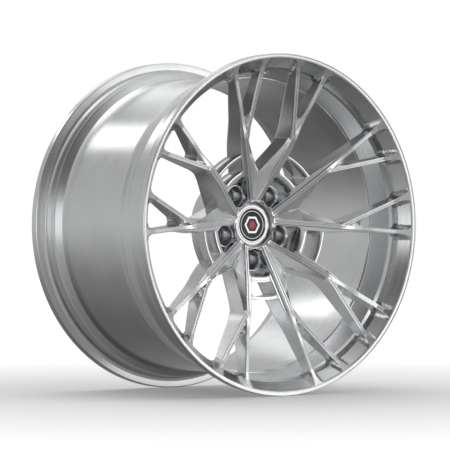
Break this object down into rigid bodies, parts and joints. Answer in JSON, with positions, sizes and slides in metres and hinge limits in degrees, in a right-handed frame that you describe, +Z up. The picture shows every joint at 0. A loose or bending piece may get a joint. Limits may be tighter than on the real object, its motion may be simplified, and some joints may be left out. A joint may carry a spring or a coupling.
{
  "type": "wheel rim",
  "caption": "Deep concave forged wheel rim with paired Y spokes, bridged lug pockets and a clip-in centre cap.",
  "frame": {"origin": "on the wheel axis, halfway between the outer faces of the two flanges", "axes": "+Y along the wheel axis from the face to the car side, +Z up through the valve hole, +X to the right seen from the face"},
  "size_m": [0.5426, 0.322, 0.5426],
  "materials": {
    "aluminium": "brushed",
    "steel": "plated",
    "chrome": "polished",
    "black_plastic": "matte",
    "anthracite": "lacquered",
    "red_enamel": "enamel"
  },
  "bodies": {
    "wheel": {"forged_face": "aluminium", "inner_barrel": "aluminium", "lug_seat_1": "steel", "lug_seat_2": "steel", "lug_seat_3": "steel", "lug_seat_4": "steel", "lug_seat_5": "steel"},
    "cap": {"cap_body": "black_plastic", "cap_bezel": "chrome", "cap_disc": "anthracite", "cap_spring_ring": "steel", "emblem_ring": "chrome", "emblem_hexagon": "chrome", "emblem_accent": "red_enamel"}
  },
  "joints": [
    {"name": "cap_pull", "type": "slide", "parent": "wheel", "child": "cap", "axis": [0, -1, 0], "range_m": [0, 0.13]}
  ]
}
